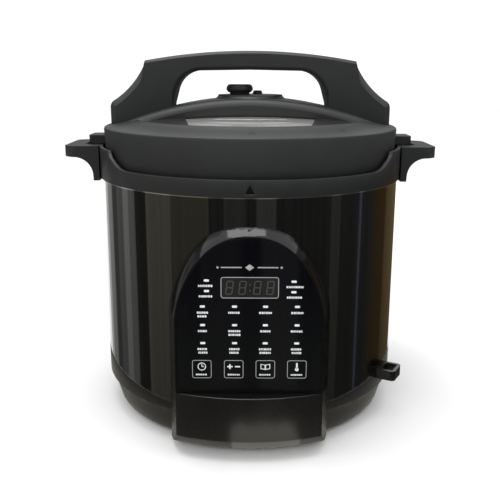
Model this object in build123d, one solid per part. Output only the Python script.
from build123d import *
import math
import os

# Electric pressure cooker. Millimetres, +Z up, front towards -Y, +X to the right.
# The origin is on the table, under the middle of the cooker.

# ---- driving dimensions: outer body ----
HOUSING_R = 135.0  # outside of the black steel wall
HOUSING_WALL = 0.8
SEAM_Z = 29.5  # base shell meets the steel wall
HOUSING_TOP = 210.6
RIM_TOP = 211.5  # bright trim ring under the collar
BASE_BOTTOM_R = 124.5
BASE_TOP_R = 132.8
FOOT_H = 4.0
COLLAR_R = 136.5
COLLAR_WALL = 2.9
COLLAR_LOW_Z = 225.0  # front and rear edge of the collar
COLLAR_HIGH_Z = 239.0  # raised edge beside the handles
SHELF_Z = 206.3  # floor of the condensation moat
HANDLE_HALF_W = 32.0
HANDLE_TIP_X = 168.3

# ---- driving dimensions: pressure vessel ----
SHIELD_R = 121.0
SHIELD_Z = 34.0
LINER_R = 114.8
LINER_FLOOR_Z = 50.0
STEEL = 0.8
FLANGE_R = 121.8
TOOTH_R = 125.8
FLANGE_TOP = 221.2
TEETH = 6
TOOTH_SPAN = 28.0  # degrees, on the flange
TAB_SPAN = 26.0  # degrees, on the lid
PLATE_TOP = 63.0  # top of the heating plate
POT_R = 111.0
POT_WALL = 1.2
POT_FLOOR_Z = PLATE_TOP + 0.3
POT_TOP = 213.0
POT_CORNER = 14.0

# ---- driving dimensions: lid ----
SKIRT_R = 127.6
SKIRT_BOTTOM = 214.0
COVER_BOTTOM = 222.5
COVER_R = 130.5
SHOULDER_R = 132.0
SHOULDER_Z = 255.6
LIP_R = 101.5
LIP_Z = 262.1
FLOOR_Z = 267.4  # crown of the recessed floor
FLOOR_SAG = 7.0  # the floor falls by this much out to the lip
BRIDGE_HALF_W = 36.0
BRIDGE_CROWN = 281.1
BRIDGE_EDGE_DROP = 6.8
BARREL_R = 300.0
BARREL_SWING = 28.0  # degrees either side of the crown
COVER_SKIN = 2.4
GRIP_TOP = 321.0
GRIP_HALF_D = 21.0
VENT_X = -9.7
FLOAT_X = 6.6
FLOAT_Y = 9.5

# ---- driving dimensions: control panel ----
PANEL_Y = -142.0
GLASS_HALF_W = 57.0
GLASS_BOTTOM = 58.0
GLASS_TOP = 181.5
GLASS_T = 2.0
CHIN_Y = -153.0
CHIN_TOP = 55.4
CHIN_BOTTOM = 6.0
CHIN_CHAMFER = 12.5  # the chin turns under along its lower front edge
BOARD_Y = -133.0

# ---- driving dimensions: rear ----
INLET_Y = 135.0
INLET_SCREW_X = (-18.6, 18.6)
CUP_Y = 153.0
CUP_HALF_W = 20.0
CUP_TOP = 192.0
CUP_BOTTOM = 158.0
SPOUT_Z = 199.0
LADLE_ANGLE = -28.5  # degrees from +X, on the right front side
SCREW_R = 2.0
GAP = 0.3


# ---- helpers ----
def rod(radius, bottom, top, x=0.0, y=0.0):
    return Pos(x, y, (bottom + top) / 2) * Cylinder(radius, top - bottom)


def tube(outer, inner, bottom, top, x=0.0, y=0.0):
    return rod(outer, bottom, top, x, y) - rod(inner, bottom - 1, top + 1, x, y)


def rod_y(radius, front, rear, x, z):
    return Pos(x, (front + rear) / 2, z) * Rot(90, 0, 0) * Cylinder(radius, rear - front)


def rod_x(radius, left, right, y, z):
    return Pos((left + right) / 2, y, z) * Rot(0, 90, 0) * Cylinder(radius, right - left)


def block(x0, x1, y0, y1, z0, z1):
    centre = Pos((x0 + x1) / 2, (y0 + y1) / 2, (z0 + z1) / 2)
    return centre * Box(x1 - x0, y1 - y0, z1 - z0)


def turned(*points):
    """A solid of revolution about Z from (radius, height) points."""
    outline = Polyline(*[(r, 0, z) for r, z in points], close=True)
    return revolve(make_face(outline), Axis.Z)


def sector(outer, inner, bottom, top, middle, span):
    """A ring segment, `span` degrees wide, centred on `middle` degrees."""
    outline = Polyline((inner, 0, bottom), (outer, 0, bottom), (outer, 0, top), (inner, 0, top), close=True)
    return Rot(0, 0, middle - span / 2) * revolve(make_face(outline), Axis.Z, span)


def hoop(radius, wire_r, z):
    """A ring of round wire about Z."""
    return revolve(Plane.XZ * Pos(radius, z) * Circle(wire_r), Axis.Z)


def ring_of(shape, count, start=0.0):
    return [Rot(0, 0, start + i * 360 / count) * shape for i in range(count)]


def group(shapes):
    return Compound(children=list(shapes))


def mirrored_x(shape):
    return mirror(shape, Plane.YZ)


def prism_y(edges, front, rear):
    """Extrudes a closed outline, drawn in X and Z, from front to rear."""
    face = make_face(edges)
    return Pos(0, front, 0) * extrude(face, rear - front, dir=(0, 1, 0))


def mirrored_outline(half):
    """Closes a half outline of edges on the X>0 side by its mirror image."""
    return half + [mirror(edge, Plane.YZ) for edge in half]


def screw(head_r, head_z0, head_z1, tip_z, x, y):
    """A pan-head screw along Z: its head from head_z0 to head_z1, its tip at tip_z."""
    seat = head_z1 if tip_z > head_z1 else head_z0
    shank = rod(SCREW_R, min(seat, tip_z), max(seat, tip_z), x, y)
    slot = block(x - head_r, x + head_r, y - 0.5, y + 0.5, head_z0 - 1, head_z0 + 0.8)
    return rod(head_r, head_z0, head_z1, x, y) - slot + shank


def polar(radius, degrees):
    a = math.radians(degrees)
    return radius * math.cos(a), radius * math.sin(a)


# ---- base ----
FOOT_PLACES = [polar(104.0, 45 + 90 * i) for i in range(4)]
POST_PLACES = [polar(80.0, 30 + 120 * i) for i in range(3)]
BASE_FLOOR = 7.0
PILLAR_PLACES = [(-42, -28), (42, -28), (-42, 42), (42, 42)]  # under the power board


def base_outer():
    top = SEAM_Z - 0.2
    return turned((0, FOOT_H), (BASE_BOTTOM_R, FOOT_H), (BASE_BOTTOM_R + 1.5, 6), (BASE_TOP_R, top), (0, top))


def base_shell():
    shell = base_outer() - turned((0, BASE_FLOOR), (BASE_BOTTOM_R - 1.5, BASE_FLOOR),
                                  (BASE_TOP_R - 2.6, SEAM_Z), (0, SEAM_Z))
    shell += tube(131.6, 130.6, SEAM_Z - 3, SEAM_Z)
    shell += tube(HOUSING_R - HOUSING_WALL - GAP, 130.9, SEAM_Z - 0.2, 38)
    shell += block(-23, 23, 118, INLET_Y, FOOT_H + 2, SEAM_Z - 0.2)
    shell -= block(-16.2, 16.2, 90, INLET_Y + 5, 8.0, 29.0)
    shell -= block(-23, 23, 90, 121, BASE_FLOOR, 60)
    shell -= [rod(3.1, 0, 12, x, y) for x, y in FOOT_PLACES]
    shell -= [rod(SCREW_R + 0.2, 0, 12, x, y) for x, y in POST_PLACES]
    shell -= [rod_y(1.6, 115, 140, x, 18) for x in INLET_SCREW_X]
    shell += [rod(3.5, BASE_FLOOR - 0.5, 14, x, y) + rod(1.5, 14, 17, x, y) for x, y in PILLAR_PLACES]
    return shell - ring_of(block(88, 98, -2, 2, 0, 12), 36, 5)


def feet():
    foot = rod(9, 0, FOOT_H) + rod(3, FOOT_H, BASE_FLOOR + 0.1) + rod(4, BASE_FLOOR + 0.1, BASE_FLOOR + 2)
    foot = chamfer(foot.edges().sort_by(Axis.Z)[0], 0.8)
    return group([Pos(x, y, 0) * foot for x, y in FOOT_PLACES])


def spacers():
    """Posts from the base to the heat shield, and on from the shield to the pressure liner."""
    posts = [tube(6, SCREW_R + 0.1, BASE_FLOOR, SHIELD_Z, x, y) for x, y in POST_PLACES]
    posts += [rod(6, SHIELD_Z + STEEL, LINER_FLOOR_Z, x, y) for x, y in POST_PLACES]
    return group(posts)


def base_screws():
    return group([screw(4.2, 1.6, FOOT_H, 22, x, y) for x, y in POST_PLACES])


# ---- steel wall, trim ring and collar ----
def housing():
    wall = tube(HOUSING_R, HOUSING_R - HOUSING_WALL, SEAM_Z, HOUSING_TOP)
    wall -= block(-44, 44, -150, -100, 64, 156)
    wall -= rod_y(3.6, 120, 150, 0, SPOUT_Z)
    for x in (-12, 12):
        wall -= rod_y(SCREW_R + 0.2, 120, 150, x, 170)
    wall -= Rot(0, 0, LADLE_ANGLE) * rod_x(SCREW_R + 0.2, 120, 150, 0, 42.5)
    return wall


def housing_rim():
    return tube(HOUSING_R + 0.5, HOUSING_R - HOUSING_WALL, HOUSING_TOP, RIM_TOP)


def collar_relief():
    """What is cut off the front of the collar, with a soft ramp up to the handles."""
    top = COLLAR_HIGH_Z + 10
    ramp = Spline((0, -66, COLLAR_HIGH_Z), (0, -73, 232), (0, -92, COLLAR_LOW_Z),
                  tangents=[(0, -0.3, -1), (0, -1, 0)])
    rest = Polyline((0, -92, COLLAR_LOW_Z), (0, -200, COLLAR_LOW_Z), (0, -200, top), (0, -66, top),
                    (0, -66, COLLAR_HIGH_Z))
    return Pos(-200, 0, 0) * extrude(make_face([ramp, *rest.edges()]), 400, dir=(1, 0, 0))


def collar():
    inner = COLLAR_R - COLLAR_WALL
    spigot = HOUSING_R - HOUSING_WALL - GAP
    ring = turned((COLLAR_R, RIM_TOP), (COLLAR_R, COLLAR_HIGH_Z), (inner, COLLAR_HIGH_Z), (inner, 215),
                  (131.2, 212.5), (131.2, SHELF_Z), (FLANGE_R + 0.5, SHELF_Z),
                  (FLANGE_R + 0.5, SHELF_Z - 2.8), (spigot, SHELF_Z - 2.8), (spigot, RIM_TOP))
    ring -= collar_relief()
    ring -= mirror(collar_relief(), Plane.XZ)
    ring -= rod(3.3, 200, 210, 0, 127)
    arrow = Polyline((-3.8, 0, 214.4), (3.8, 0, 214.4), (0, 0, 221.2), close=True)
    ring -= prism_y(arrow, -140, -COLLAR_R + 0.5)
    for y in (-20, 20):
        ring -= rod_x(SCREW_R + 0.1, -140, 140, y, 219)
    return ring


def drain_spout():
    elbow = rod(3.2, SPOUT_Z - 3.2, SHELF_Z, 0, 127) + rod_y(3.2, 124, 142, 0, SPOUT_Z)
    elbow -= rod(2.1, SPOUT_Z, SHELF_Z + 1, 0, 127)
    return elbow - rod_y(2.1, 127, 150, 0, SPOUT_Z)


# ---- side handles ----
def handle_profile():
    tip = HANDLE_TIP_X
    top = COLLAR_HIGH_Z
    return [
        Line((134, 0, top), (tip - 4, 0, top)),
        ThreePointArc((tip - 4, 0, top), (tip - 1, 0, top - 1.3), (tip, 0, top - 4)),
        Line((tip, 0, top - 4), (tip, 0, 231.5)),
        ThreePointArc((tip, 0, 231.5), (tip - 1, 0, 230), (tip - 3, 0, 229.5)),
        Line((tip - 3, 0, 229.5), (156, 0, 229.2)),
        ThreePointArc((156, 0, 229.2), (145, 0, 225), (139.6, 0, 214)),
        Line((139.6, 0, 214), (139.3, 0, 208.5)),
        Line((139.3, 0, 208.5), (134, 0, 208.5)),
        Line((134, 0, 208.5), (134, 0, top)),
    ]


def handle_plan():
    w = HANDLE_HALF_W
    tip = HANDLE_TIP_X
    return [
        Line((110, -w, 0), (tip - 13, -w, 0)),
        ThreePointArc((tip - 13, -w, 0), (tip - 6.4, -w + 2.6, 0), (tip - 3, -w + 8.5, 0)),
        ThreePointArc((tip - 3, -w + 8.5, 0), (tip, 0, 0), (tip - 3, w - 8.5, 0)),
        ThreePointArc((tip - 3, w - 8.5, 0), (tip - 6.4, w - 2.6, 0), (tip - 13, w, 0)),
        Line((tip - 13, w, 0), (110, w, 0)),
        Line((110, w, 0), (110, -w, 0)),
    ]


def right_handle():
    body = prism_y(handle_profile(), -60, 60)
    body &= Pos(0, 0, 200) * extrude(make_face(handle_plan()), 60, dir=(0, 0, 1))
    body -= rod(COLLAR_R, RIM_TOP - 0.1, 260)
    body -= rod(HOUSING_R + 0.7, 190, RIM_TOP)
    body -= block(137.2, 150, -13, 13, 200, 250)
    for y in (-20, 20):
        body -= rod_x(SCREW_R + 0.05, 130, 146, y, 219)
    return body


def handle_screws():
    screws = []
    for y in (-20, 20):
        one = rod_x(3.2, 130.1, 131.5, y, 219) + rod_x(SCREW_R, 131.5, 139, y, 219)
        screws += [one, mirrored_x(one)]
    return group(screws)


# ---- pressure vessel ----
def heat_shield():
    z = SHIELD_Z
    pan = turned((22, z), (SHIELD_R - 3, z), (SHIELD_R, z + 3), (SHIELD_R, 202), (SHIELD_R - STEEL, 202),
                 (SHIELD_R - STEEL, z + 3.4), (SHIELD_R - 3.4, z + STEEL), (22, z + STEEL))
    for x in (-20, 20):
        pan -= rod(5, 30, 40, x, 62)
    return pan


def liner():
    z = LINER_FLOOR_Z
    r = LINER_R
    step = SHELF_Z + 0.4
    bowl = turned((32, z), (r - 4, z), (r, z + 4), (r, step), (FLANGE_R - 0.4, step),
                  (FLANGE_R - 0.4, FLANGE_TOP - 2.2), (FLANGE_R, FLANGE_TOP - 2.2), (FLANGE_R, FLANGE_TOP),
                  (FLANGE_R - 1.4, FLANGE_TOP), (FLANGE_R - 1.4, step + STEEL), (r - STEEL, step + STEEL),
                  (r - STEEL, z + 4.3), (r - 4.3, z + STEEL), (32, z + STEEL))
    for tooth in range(TEETH):
        bowl += sector(TOOTH_R, FLANGE_R - 0.5, FLANGE_TOP - 2.2, FLANGE_TOP, tooth * 60, TOOTH_SPAN)
    for x in (-20, 20):
        bowl -= rod(4, 40, 56, x, 62)
    return bowl


def heating_plate():
    plate = turned((14, 57), (96, 57), (98, 59), (98, 61.5), (95, PLATE_TOP), (14, PLATE_TOP))
    return plate - hoop(65.1, 3.4, 55.6)


def heating_element():
    terminals = [rod(2.2, 43, 52.4, x, 62) for x in (-20, 20)]
    return group([hoop(65.1, 3.2, 55.6), *terminals])


def plate_supports():
    return group([rod(4, LINER_FLOOR_Z + STEEL, 57, *polar(86, 30 + 120 * i)) for i in range(3)])


def pressure_switch():
    body = block(37, 57, -6, 6, LINER_FLOOR_Z + STEEL, 55.8)
    return body + rod(2.5, 55.8, 56.8, 43, 0)


def thermal_fuse():
    fuse = rod_x(2.4, -8, 8, -60, LINER_FLOOR_Z - 2.5) + rod_x(0.6, -16, 16, -60, LINER_FLOOR_Z - 2.5)
    return fuse


def sensor_guide():
    body = rod(36, LINER_FLOOR_Z + STEEL, 52.2) + rod(8, 42, 52)
    return body - rod(5.06, 40, 60) - block(36.9, 60, -10, 10, 40, 60)


def thermal_sensor():
    cap = turned((0, 60), (11, 60), (12, 60.6), (12, 62), (10.9, 63.1), (0, 63.1))
    return cap + rod(5, 38, 60.5)


def sensor_spring():
    coil = Pos(0, 0, 52.9) * Helix(2.2, 6.6, 8)
    start = coil @ 0
    wire = Plane(origin=start, z_dir=coil % 0) * Circle(0.55)
    return sweep(wire, coil)


def inner_pot():
    c = POT_CORNER
    r = POT_R
    foot = r - c
    z = POT_FLOOR_Z
    mid = c * math.sqrt(0.5)
    t = POT_WALL
    mid_in = (c - t) * math.sqrt(0.5)
    outline = [
        Line((0, 0, z), (foot, 0, z)),
        ThreePointArc((foot, 0, z), (foot + mid, 0, z + c - mid), (r, 0, z + c)),
        Line((r, 0, z + c), (r, 0, POT_TOP - 2)),
        Line((r, 0, POT_TOP - 2), (118.6, 0, POT_TOP - t)),
        Line((118.6, 0, POT_TOP - t), (118.6, 0, POT_TOP)),
        Line((118.6, 0, POT_TOP), (r - t, 0, POT_TOP)),
        Line((r - t, 0, POT_TOP), (r - t, 0, z + c)),
        ThreePointArc((r - t, 0, z + c), (foot + mid_in, 0, z + c - mid_in), (foot, 0, z + t)),
        Line((foot, 0, z + t), (0, 0, z + t)),
        Line((0, 0, z + t), (0, 0, z)),
    ]
    return revolve(make_face(outline), Axis.Z)


# ---- electronics in the base ----
BOARD_TOP = 15.6


def power_board():
    board = block(-46, 46, -32, 46, 14, BOARD_TOP)
    for x, y in PILLAR_PLACES:
        board -= rod(1.6, 10, 20, x, y)
    return board


def transformer():
    core = block(-38, -12, -22, 0, BOARD_TOP, 29)
    return core - block(-33, -17, -23, 1, 19, 25.6) + block(-32.9, -17.1, -24, 2, 19.1, 25.5)


def relay():
    return block(-2, 17, -22, -7, BOARD_TOP, 30.5)


def terminal_block():
    body = block(-30, 6, 30, 42, BOARD_TOP, 25)
    for x in (-24, -12, 0):
        body -= rod(2.2, 22, 26, x, 36)
        body -= rod_y(1.6, 38, 44, x, 19.5)
    return body


def lead(*points, bend=8):
    """An insulated wire along straight runs joined by arcs."""
    path = FilletPolyline(*points, radius=bend)
    return sweep(Plane(origin=path @ 0, z_dir=path % 0) * Circle(1.4), path)


def power_leads():
    leads = []
    for pin_x, block_x in ((-7, -24), (0, -12), (7, 0)):
        leads.append(lead((pin_x, 104, 18.5), (pin_x, 88, 18.5), (block_x, 62, 19.5), (block_x, 42, 19.5)))
    for x in (-20, 20):
        leads.append(lead((x, 62, 42.8), (x, 62, 28), (x, 24, 28), (x, 24, BOARD_TOP), bend=4))
    return group(leads)


def ribbon_cable():
    t = 1.2
    outer = [(-129.8, 72), (-129.8, 46), (-125, 38), (-125, 25), (-26, 25), (-26, BOARD_TOP)]
    inner = [(-26 + t, BOARD_TOP), (-26 + t, 25 + t), (-125 + t, 25 + t), (-125 + t, 37.6),
             (-129.8 + t, 45.6), (-129.8 + t, 72)]
    outline = Polyline(*[(0, y, z) for y, z in outer + inner], close=True)
    return Pos(8, 0, 0) * extrude(make_face(outline), 16, dir=(1, 0, 0))


# ---- control panel ----
def arch(half_w, bottom, top, spring, y):
    """A flat-bottomed arch outline on the plane Y=y: straight sides, then a three-centred top."""
    rise = top - spring
    shoulder = (half_w * 0.66, y, spring + rise * 0.72)
    corner = (half_w, y, spring)
    flank = (half_w * 0.91, y, spring + rise * 0.335)
    crest = (half_w * 0.35, y, spring + rise * 0.945)
    half = [
        Line((0, y, bottom), (half_w, y, bottom)),
        Line((half_w, y, bottom), corner),
        ThreePointArc(corner, flank, shoulder),
        ThreePointArc(shoulder, crest, (0, y, top)),
    ]
    return make_face(mirrored_outline(half))


def glass_form(inset, front, rear):
    face = arch(GLASS_HALF_W - inset, GLASS_BOTTOM + inset, GLASS_TOP - inset, 118, front)
    return extrude(face, rear - front, dir=(0, 1, 0))


def panel_frame():
    front = arch(GLASS_HALF_W + 1.6, CHIN_TOP + 0.2, GLASS_TOP + 1.4, 118, PANEL_Y)
    rear = arch(GLASS_HALF_W + 8.2, CHIN_TOP + 0.2, 204, 118, -118)
    boss = loft([front, rear])
    boss -= rod(HOUSING_R + 0.05, 20, 230)
    boss -= glass_form(0, PANEL_Y - 2, PANEL_Y + GLASS_T)
    boss -= glass_form(3, PANEL_Y, -110)
    return boss


def panel_glass():
    return glass_form(0.15, PANEL_Y, PANEL_Y + GLASS_T)


def panel_chin():
    w = GLASS_HALF_W + 1.6
    plan = [
        Line((-65, -112, 0), (-65, -118.8, 0)),
        Line((-65, -118.8, 0), (-w, PANEL_Y, 0)),
        ThreePointArc((-w, PANEL_Y, 0), (0, CHIN_Y, 0), (w, PANEL_Y, 0)),
        Line((w, PANEL_Y, 0), (65, -118.8, 0)),
        Line((65, -118.8, 0), (65, -112, 0)),
        Line((65, -112, 0), (-65, -112, 0)),
    ]
    body = Pos(0, 0, CHIN_BOTTOM) * extrude(make_face(plan), CHIN_TOP - CHIN_BOTTOM, dir=(0, 0, 1))
    front_edges = body.edges().filter_by(GeomType.CIRCLE).sort_by(Axis.Z)
    body = chamfer(front_edges[0], CHIN_CHAMFER)
    top_edges = body.edges().filter_by(GeomType.CIRCLE).sort_by(Axis.Z)
    body = fillet(top_edges[-1], 2)
    body -= rod(HOUSING_R + 0.05, SEAM_Z - 0.25, 80)
    body -= base_outer()
    return body - rod(BASE_TOP_R, SEAM_Z - 0.25, SEAM_Z) - block(-52, 52, -138, -100, 16, 52)


BOARD_SCREWS = [(x, z) for x in (-38, 38) for z in (70, 144)]


def control_board():
    board = block(-42, 42, BOARD_Y, BOARD_Y + 1.6, 66, 150)
    return board - [rod_y(1.7, -140, -120, x, z) for x, z in BOARD_SCREWS]


def board_screws():
    back = BOARD_Y + 1.6
    shanks = [rod_y(1.6, BOARD_Y - 6.5, back, x, z) for x, z in BOARD_SCREWS]
    heads = [rod_y(3, back, back + 1.6, x, z) for x, z in BOARD_SCREWS]
    return group([shank + head for shank, head in zip(shanks, heads)])


def display_module():
    return block(-24, 24, PANEL_Y + GLASS_T + 0.2, BOARD_Y, 132, 154)


LED_PLACES = [(x, z) for z in (127.9, 112.8, 97.9) for x in (-36.3, -11.5, 12.4, 37)]
LED_PLACES += [(-33, 148.8), (-33, 140.4), (34, 148.1), (34, 139.7)]


def indicator_leds():
    front = PANEL_Y + GLASS_T + 0.2
    return group([block(x - 2, x + 2, front, BOARD_Y, z - 0.9, z + 0.9) for x, z in LED_PLACES])


KEY_X = [-37.3, -12.2, 12.7, 37.5]
KEY_Z = 76.0


def touch_springs():
    """Conductive springs that carry each touch key from the board to the glass."""
    pads = []
    for x in KEY_X:
        wire = tube(4.5, 3.3, 0, 6.6)
        pads.append(Pos(x * 0.86, BOARD_Y, KEY_Z + 2) * Rot(90, 0, 0) * wire)
    return group(pads)


def buzzer():
    return rod_y(6, BOARD_Y + 1.6, BOARD_Y + 8, -20, 90) - rod_y(1.2, BOARD_Y + 6, BOARD_Y + 9, -20, 90)


# ---- rear: inlet and condensation cup ----
def inlet_body():
    body = block(-16, 16, 106, INLET_Y + 1, 8.2, 28.8)
    body += block(-21, 21, INLET_Y, INLET_Y + 2.2, 6.6, 29.2)
    socket = block(-12, 12, 115, INLET_Y + 5, 10.6, 26.4)
    socket -= Pos(12, 125, 26.4) * Rot(0, 45, 0) * Box(6, 60, 6)
    socket -= Pos(-12, 125, 26.4) * Rot(0, 45, 0) * Box(6, 60, 6)
    body -= socket
    for x in INLET_SCREW_X:
        body -= rod_y(1.6, INLET_Y - 5, INLET_Y + 5, x, 18)
    return body


def inlet_pins():
    pins = [block(x - 1, x + 1, 104, 131, z - 2, z + 2) for x, z in ((-7, 16), (7, 16), (0, 21))]
    return group(pins)


def power_inlet():
    return inlet_body() - inlet_pins()


def inlet_screws():
    seat = INLET_Y + 2.2
    return group([rod_y(1.5, INLET_Y - 8, seat, x, 18) + rod_y(2.4, seat, seat + 1.2, x, 18)
                  for x in INLET_SCREW_X])


def condensation_bracket():
    back = block(-25, 25, 125, 137, CUP_BOTTOM - 2, 194.6) - rod(HOUSING_R + 0.05, 100, 220)
    channel = block(20.6, 25, 136, 150, 186, 194.6) - block(20, 23.0, 130, 160, 189.7, 192.3)
    body = back + channel + mirrored_x(channel)
    for x in (-12, 12):
        body -= rod_y(SCREW_R - 0.2, 130, 136.2, x, 170)
    return body


def wall_screws():
    """Screws from inside the steel wall into the condensation bracket and the ladle holder."""
    shank_r = SCREW_R - 0.3
    screws = [rod_y(3.4, 129.6, 132.2, x, 170) + rod_y(shank_r, 132.2, 136, x, 170) for x in (-12, 12)]
    ladle = rod_x(3.4, 131.2, 134, 0, 42.5) + rod_x(SCREW_R - 0.2, 134, 137.2, 0, 42.5)
    return group([*screws, Rot(0, 0, LADLE_ANGLE) * ladle])


def condensation_cup():
    w = CUP_HALF_W
    cup = block(-w, w, 137.4, CUP_Y, CUP_BOTTOM, CUP_TOP)
    edges = cup.edges().filter_by(Axis.Z).sort_by(Axis.Y)[-2:]
    cup = fillet(edges, 5)
    cup -= block(-w + 1.8, w - 1.8, 139.2, CUP_Y - 1.8, CUP_BOTTOM + 1.8, CUP_TOP + 1)
    for side in (-1, 1):
        lug = block(w - 0.5, w + 2.7, 138.5, 148, CUP_TOP - 2, CUP_TOP)
        cup += lug if side > 0 else mirrored_x(lug)
    return cup


# ---- ladle holder ----
def ladle_holder():
    loop = block(130, 151, -10.5, 10.5, 38, 47)
    edges = loop.edges().filter_by(Axis.Z).sort_by(Axis.X)[-2:]
    loop = fillet(edges, 4)
    loop -= block(138.2, 148.2, -7.6, 7.6, 30, 50)
    loop -= rod(HOUSING_R + 0.05, 20, 60)
    loop -= rod_x(SCREW_R - 0.1, 130, 137.4, 0, 42.5)
    return Rot(0, 0, LADLE_ANGLE) * loop


# ---- lid ----
def dome_z(radius, crown):
    """Height of a shallow dome that falls by FLOOR_SAG at the lip."""
    ball = (LIP_R**2 + FLOOR_SAG**2) / (2 * FLOOR_SAG)
    return crown - ball + math.sqrt(ball**2 - radius**2)


def dome_arc(crown, outer, inner=0.0):
    half = (inner + outer) / 2
    return ThreePointArc((outer, 0, dome_z(outer, crown)), (half, 0, dome_z(half, crown)),
                         (inner, 0, dome_z(inner, crown)))


def cover_form():
    """Outside of the cover without its bridge, as a solid with the domed recess in its top."""
    rim = [(0, COVER_BOTTOM), (COVER_R, COVER_BOTTOM), (SHOULDER_R, SHOULDER_Z - 1.6),
           (SHOULDER_R - 0.5, SHOULDER_Z - 0.4), (SHOULDER_R - 1.8, SHOULDER_Z + 0.3),
           (LIP_R + 4.6, LIP_Z - 0.8), (LIP_R + 3.6, LIP_Z - 0.1), (LIP_R + 2.2, LIP_Z),
           (LIP_R + 0.6, LIP_Z - 0.2), (LIP_R, LIP_Z - 0.8), (LIP_R, dome_z(LIP_R, FLOOR_Z))]
    outline = list(Polyline(*[(r, 0, z) for r, z in rim]).edges())
    outline += [dome_arc(FLOOR_Z, LIP_R), Line((0, 0, FLOOR_Z), (0, 0, COVER_BOTTOM))]
    return revolve(make_face(outline), Axis.Z)


def bridge_form(inset):
    """The barrel-shaped bridge across the lid, shrunk by `inset` on every side."""
    half = BRIDGE_HALF_W - inset
    top = BRIDGE_CROWN - inset
    edge = top - BRIDGE_EDGE_DROP
    section = [
        Line((0, -half, 240), (0, -half, edge)),
        ThreePointArc((0, -half, edge), (0, -half + 2.4, edge + 4.2), (0, -half + 8, top - 0.4)),
        ThreePointArc((0, -half + 8, top - 0.4), (0, 0, top), (0, half - 8, top - 0.4)),
        ThreePointArc((0, half - 8, top - 0.4), (0, half - 2.4, edge + 4.2), (0, half, edge)),
        Line((0, half, edge), (0, half, 240)),
        Line((0, half, 240), (0, -half, 240)),
    ]
    axis = Axis((0, 0, BRIDGE_CROWN - BARREL_R), (0, 1, 0))
    barrel = revolve(make_face(section).rotate(axis, -BARREL_SWING), axis, 2 * BARREL_SWING)
    rim = 130 - inset
    return barrel & turned((0, 230), (rim, 230), (rim, 253.8 - inset), (33, 300 - inset), (0, 300 - inset))


def lid_window():
    """Crescent opening in front of the bridge that shows the steel lid."""
    w = BRIDGE_HALF_W + 0.4
    outline = Polyline((-57, -w, 240), (57, -w, 240), (46, -105, 240), (-46, -105, 240), close=True)
    return extrude(make_face(outline), 40, dir=(0, 0, 1)) & rod(LIP_R - 0.6, 200, 300)


def cover_inside():
    """Air under the cover, above the steel lid."""
    crown = FLOOR_Z - 1.1
    outline = [
        Line((0, 0, crown), (0, 0, 200)),
        Line((0, 0, 200), (128.4, 0, 200)),
        Line((128.4, 0, 200), (128.8, 0, 252.6)),
        Line((128.8, 0, 252.6), (104, 0, 258.6)),
        Line((104, 0, 258.6), (LIP_R - 1, 0, dome_z(LIP_R - 1, crown))),
        dome_arc(crown, LIP_R - 1),
    ]
    return revolve(make_face(outline), Axis.Z)


BOSS_X = 92.0
GRIP_SCREWS = [(x, y) for x in (-84, 84) for y in (-14, 14)]
GRIP_SEAT_Z = 264.4  # the cover's bosses stop here, on the grip screws' heads


def lid_cover():
    cover = cover_form() - lid_window() - mirror(lid_window(), Plane.XZ)
    cover = cover + bridge_form(0) - cover_inside() - bridge_form(COVER_SKIN)
    bosses = [rod(4.5, 261.1, 280, x, 0) for x in (-BOSS_X, BOSS_X)]
    bosses += [rod(5, GRIP_SEAT_Z, 280, x, y) for x, y in GRIP_SCREWS]
    core = bridge_form(COVER_SKIN / 2)
    cover += [boss & core for boss in bosses]
    bores = [rod(SCREW_R + 0.1, 255, 290, x, y) for x, y in GRIP_SCREWS]
    bores += [rod(1.6, 255, 264.8, x, 0) for x in (-BOSS_X, BOSS_X)]
    bores += [rod(4.3, 250, 290, VENT_X, 0), rod(3.2, 250, 290, FLOAT_X, FLOAT_Y)]
    return (cover - bores).fix()


def pressure_lid():
    crown = FLOOR_Z - 1.4
    outline = [
        dome_arc(crown, 100),
        Line((0, 0, crown), (0, 0, crown - 1)),
        dome_arc(crown - 1, 99.6),
        Line((99.6, 0, dome_z(99.6, crown - 1)), (117.3, 0, 250.2)),
        Line((117.3, 0, 250.2), (125.2, 0, 242.2)),
        Line((125.2, 0, 242.2), (SKIRT_R - 1, 0, 238)),
        Line((SKIRT_R - 1, 0, 238), (SKIRT_R - 1, 0, SKIRT_BOTTOM)),
        Line((SKIRT_R - 1, 0, SKIRT_BOTTOM), (SKIRT_R, 0, SKIRT_BOTTOM)),
        Line((SKIRT_R, 0, SKIRT_BOTTOM), (SKIRT_R, 0, 238.2)),
        Line((SKIRT_R, 0, 238.2), (126, 0, 242.8)),
        Line((126, 0, 242.8), (118, 0, 251)),
        Line((118, 0, 251), (100, 0, dome_z(100, crown))),
    ]
    lid = revolve(make_face(outline), Axis.Z)
    tab = sector(SKIRT_R - 0.5, FLANGE_R + 0.8, SKIRT_BOTTOM, SKIRT_BOTTOM + 2, 30, TAB_SPAN)
    for one in ring_of(tab, TEETH):
        lid += one
    bores = [rod(4.05, 250, 290, VENT_X, 0), rod(2.56, 250, 290, FLOAT_X, FLOAT_Y)]
    bores += [rod(1.7, 250, 290, x, 0) for x in (-BOSS_X, BOSS_X)]
    return (lid - bores).fix()


def lid_screws():
    screws = []
    for x in (-BOSS_X, BOSS_X):
        screws.append(rod(3.6, 255.4, 258.2, x, 0) + rod(1.5, 258.2, 264.4, x, 0))
    return group(screws)


def right_lid_fin():
    fin = block(126, 146, -13.5, 13.5, 239.6, 247)
    tip_edges = fin.edges().filter_by(Axis.Z).sort_by(Axis.X)[-2:]
    fin = fillet(tip_edges, 3)
    return fin - cover_form()


def sealing_ring():
    bottom = FLANGE_TOP + 0.4
    return turned((113, bottom), (125.6, bottom), (125.6, 233), (122.6, 233), (122.6, 225.4), (114, 225.4),
                  (113, 224))


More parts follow.
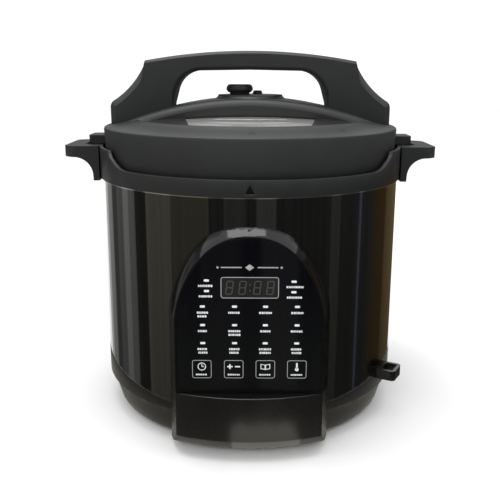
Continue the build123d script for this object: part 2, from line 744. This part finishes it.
def seal_rack():
    rack = hoop(118.6, 1.5, 227.2)
    for clip in ring_of(block(117.6, 119.6, -2, 2, 228, 247.2), 4, 45):
        rack += clip
    return rack


def anti_block_shield():
    cup = turned((0, 247.4), (11.5, 247.4), (12, 248), (12, 264.6), (11, 264.6), (11, 248.6), (0, 248.6))
    cup = Pos(VENT_X, 0, 0) * cup
    for angle in range(0, 180, 30):
        cup -= Pos(VENT_X, 0, 0) * Rot(0, 0, angle) * block(-13, 13, -1.1, 1.1, 250.4, 261.4)
    return cup


def steam_pipe():
    pipe = rod(4, 252, 288, VENT_X, 0) - rod(1.6, 240, 300, VENT_X, 0)
    return pipe + tube(6.5, 3.9, 262.8, 264.7, VENT_X, 0)


def pipe_nut():
    hexagon = Pos(VENT_X, 0, 266.3) * extrude(RegularPolygon(7, 6), 3.4)
    return hexagon - rod(4.03, 260, 275, VENT_X, 0)


def valve_dish():
    dish = turned((0, 262), (33.4, 262), (32.4, 278.8), (29.3, 281.8), (29.1, 283), (0, 283))
    dish -= bridge_form(0)
    dish += Pos(FLOAT_X, FLOAT_Y, 0) * turned((0, 282.8), (5, 282.8), (3.6, 286.4), (0, 286.4))
    bores = [rod(2.62, 260, 300, FLOAT_X, FLOAT_Y), rod(4.3, 260, 300, VENT_X, 0)]
    groove = rod(27.5, 282.6, 284) - rod(26.7, 282, 285)
    return (dish - [*bores, groove]).fix()


def steam_knob():
    body = turned((0, 283.3), (8.8, 283.3), (9, 284.9), (10.2, 285), (12.1, 287.4), (11.9, 289.3), (11, 291),
                  (9.8, 292), (0, 292))
    body = Pos(VENT_X, 0, 0) * body
    for side in (-1, 1):
        body -= rod(13.5, 288.6, 293, VENT_X, side * 22.8)
    return body - rod(4.05, 280, 288.4, VENT_X, 0)


def float_valve():
    return rod(2.5, 258.4, 284.8, FLOAT_X, FLOAT_Y) + rod(5, 256.8, 258.8, FLOAT_X, FLOAT_Y)


def float_seal():
    return tube(4.6, 2.5, 258.8, 260, FLOAT_X, FLOAT_Y)


# ---- top handle ----
def grip_outline():
    half = [
        ThreePointArc((0, 0, GRIP_TOP), (48, 0, GRIP_TOP - 2.3), (92.6, 0, 312.4)),
        Line((92.6, 0, 312.4), (93.2, 0, 309.6)),
        ThreePointArc((93.2, 0, 309.6), (103.6, 0, 293.4), (122.2, 0, 277.4)),
        ThreePointArc((122.2, 0, 277.4), (123.9, 0, 275), (124.5, 0, 272)),
        Line((124.5, 0, 272), (124.5, 0, 250)),
        Line((124.5, 0, 250), (70, 0, 250)),
        Line((70, 0, 250), (69.4, 0, 273.5)),
        Line((69.4, 0, 273.5), (65.4, 0, 288)),
        ThreePointArc((65.4, 0, 288), (58.6, 0, 298.6), (46, 0, 304)),
        Line((46, 0, 304), (0, 0, 304.8)),
    ]
    return mirrored_outline(half)


def grip_pad_form(gap):
    return block(-36 + gap, 36 - gap, -12 + gap, 12 - gap, 290, 307.4 - gap)


def side_edges(form, wanted):
    """Edges of the front and rear faces whose centre passes the `wanted` test."""
    edges = [edge for face in form.faces().filter_by(Axis.Y) for edge in face.edges()]
    return [edge for edge in edges if wanted(edge.center())]


def grip_form():
    """The handle as a bevelled loop, before it is cut to the lid."""
    form = prism_y(grip_outline(), -GRIP_HALF_D, GRIP_HALF_D)
    form = chamfer(side_edges(form, lambda c: c.Z > 263 and abs(c.X) < 72 and c.Z < 306), 3.0)
    form = chamfer(side_edges(form, lambda c: c.Z > 313), 2.4)
    return chamfer(side_edges(form, lambda c: abs(c.X) > 98 and 265 < c.Z < 300), 5)


def lid_handle():
    handle = grip_form() - bridge_form(0) - cover_form()
    bores = [rod(SCREW_R + 0.05, 250, 283, x, y) for x, y in GRIP_SCREWS]
    return (handle - [grip_pad_form(0), *bores]).fix()


def grip_pad():
    return grip_pad_form(0.1) & prism_y(grip_outline(), -GRIP_HALF_D, GRIP_HALF_D)


def grip_screws():
    seat = GRIP_SEAT_Z
    return group([rod(4, seat - 2.2, seat, x, y) + rod(SCREW_R, seat, 282, x, y) for x, y in GRIP_SCREWS])


PARTS = {
    "base_shell": base_shell,
    "feet": feet,
    "spacers": spacers,
    "base_screws": base_screws,
    "outer_housing": housing,
    "housing_rim": housing_rim,
    "collar": collar,
    "drain_spout": drain_spout,
    "right_handle": right_handle,
    "left_handle": lambda: mirrored_x(right_handle()),
    "handle_screws": handle_screws,
    "heat_shield": heat_shield,
    "pressure_liner": liner,
    "heating_plate": heating_plate,
    "heating_element": heating_element,
    "plate_supports": plate_supports,
    "pressure_switch": pressure_switch,
    "thermal_fuse": thermal_fuse,
    "sensor_guide": sensor_guide,
    "thermal_sensor": thermal_sensor,
    "sensor_spring": sensor_spring,
    "inner_pot": inner_pot,
    "power_board": power_board,
    "transformer": transformer,
    "relay": relay,
    "terminal_block": terminal_block,
    "power_leads": power_leads,
    "ribbon_cable": ribbon_cable,
    "panel_frame": panel_frame,
    "panel_glass": panel_glass,
    "panel_chin": panel_chin,
    "control_board": control_board,
    "board_screws": board_screws,
    "display_module": display_module,
    "indicator_leds": indicator_leds,
    "touch_springs": touch_springs,
    "buzzer": buzzer,
    "power_inlet": power_inlet,
    "inlet_pins": inlet_pins,
    "inlet_screws": inlet_screws,
    "condensation_bracket": condensation_bracket,
    "wall_screws": wall_screws,
    "condensation_cup": condensation_cup,
    "ladle_holder": ladle_holder,
    "lid_cover": lid_cover,
    "pressure_lid": pressure_lid,
    "lid_screws": lid_screws,
    "lid_fins": lambda: group([right_lid_fin(), mirrored_x(right_lid_fin())]),
    "sealing_ring": sealing_ring,
    "seal_rack": seal_rack,
    "anti_block_shield": anti_block_shield,
    "steam_pipe": steam_pipe,
    "valve_dish": valve_dish,
    "steam_knob": steam_knob,
    "float_valve": float_valve,
    "lid_handle": lid_handle,
    "grip_pad": grip_pad,
    "grip_screws": grip_screws,
    "float_seal": float_seal,
    "pipe_nut": pipe_nut,
}

os.makedirs("parts", exist_ok=True)
for name, make in PARTS.items():
    export_step(make(), f"parts/{name}.step")
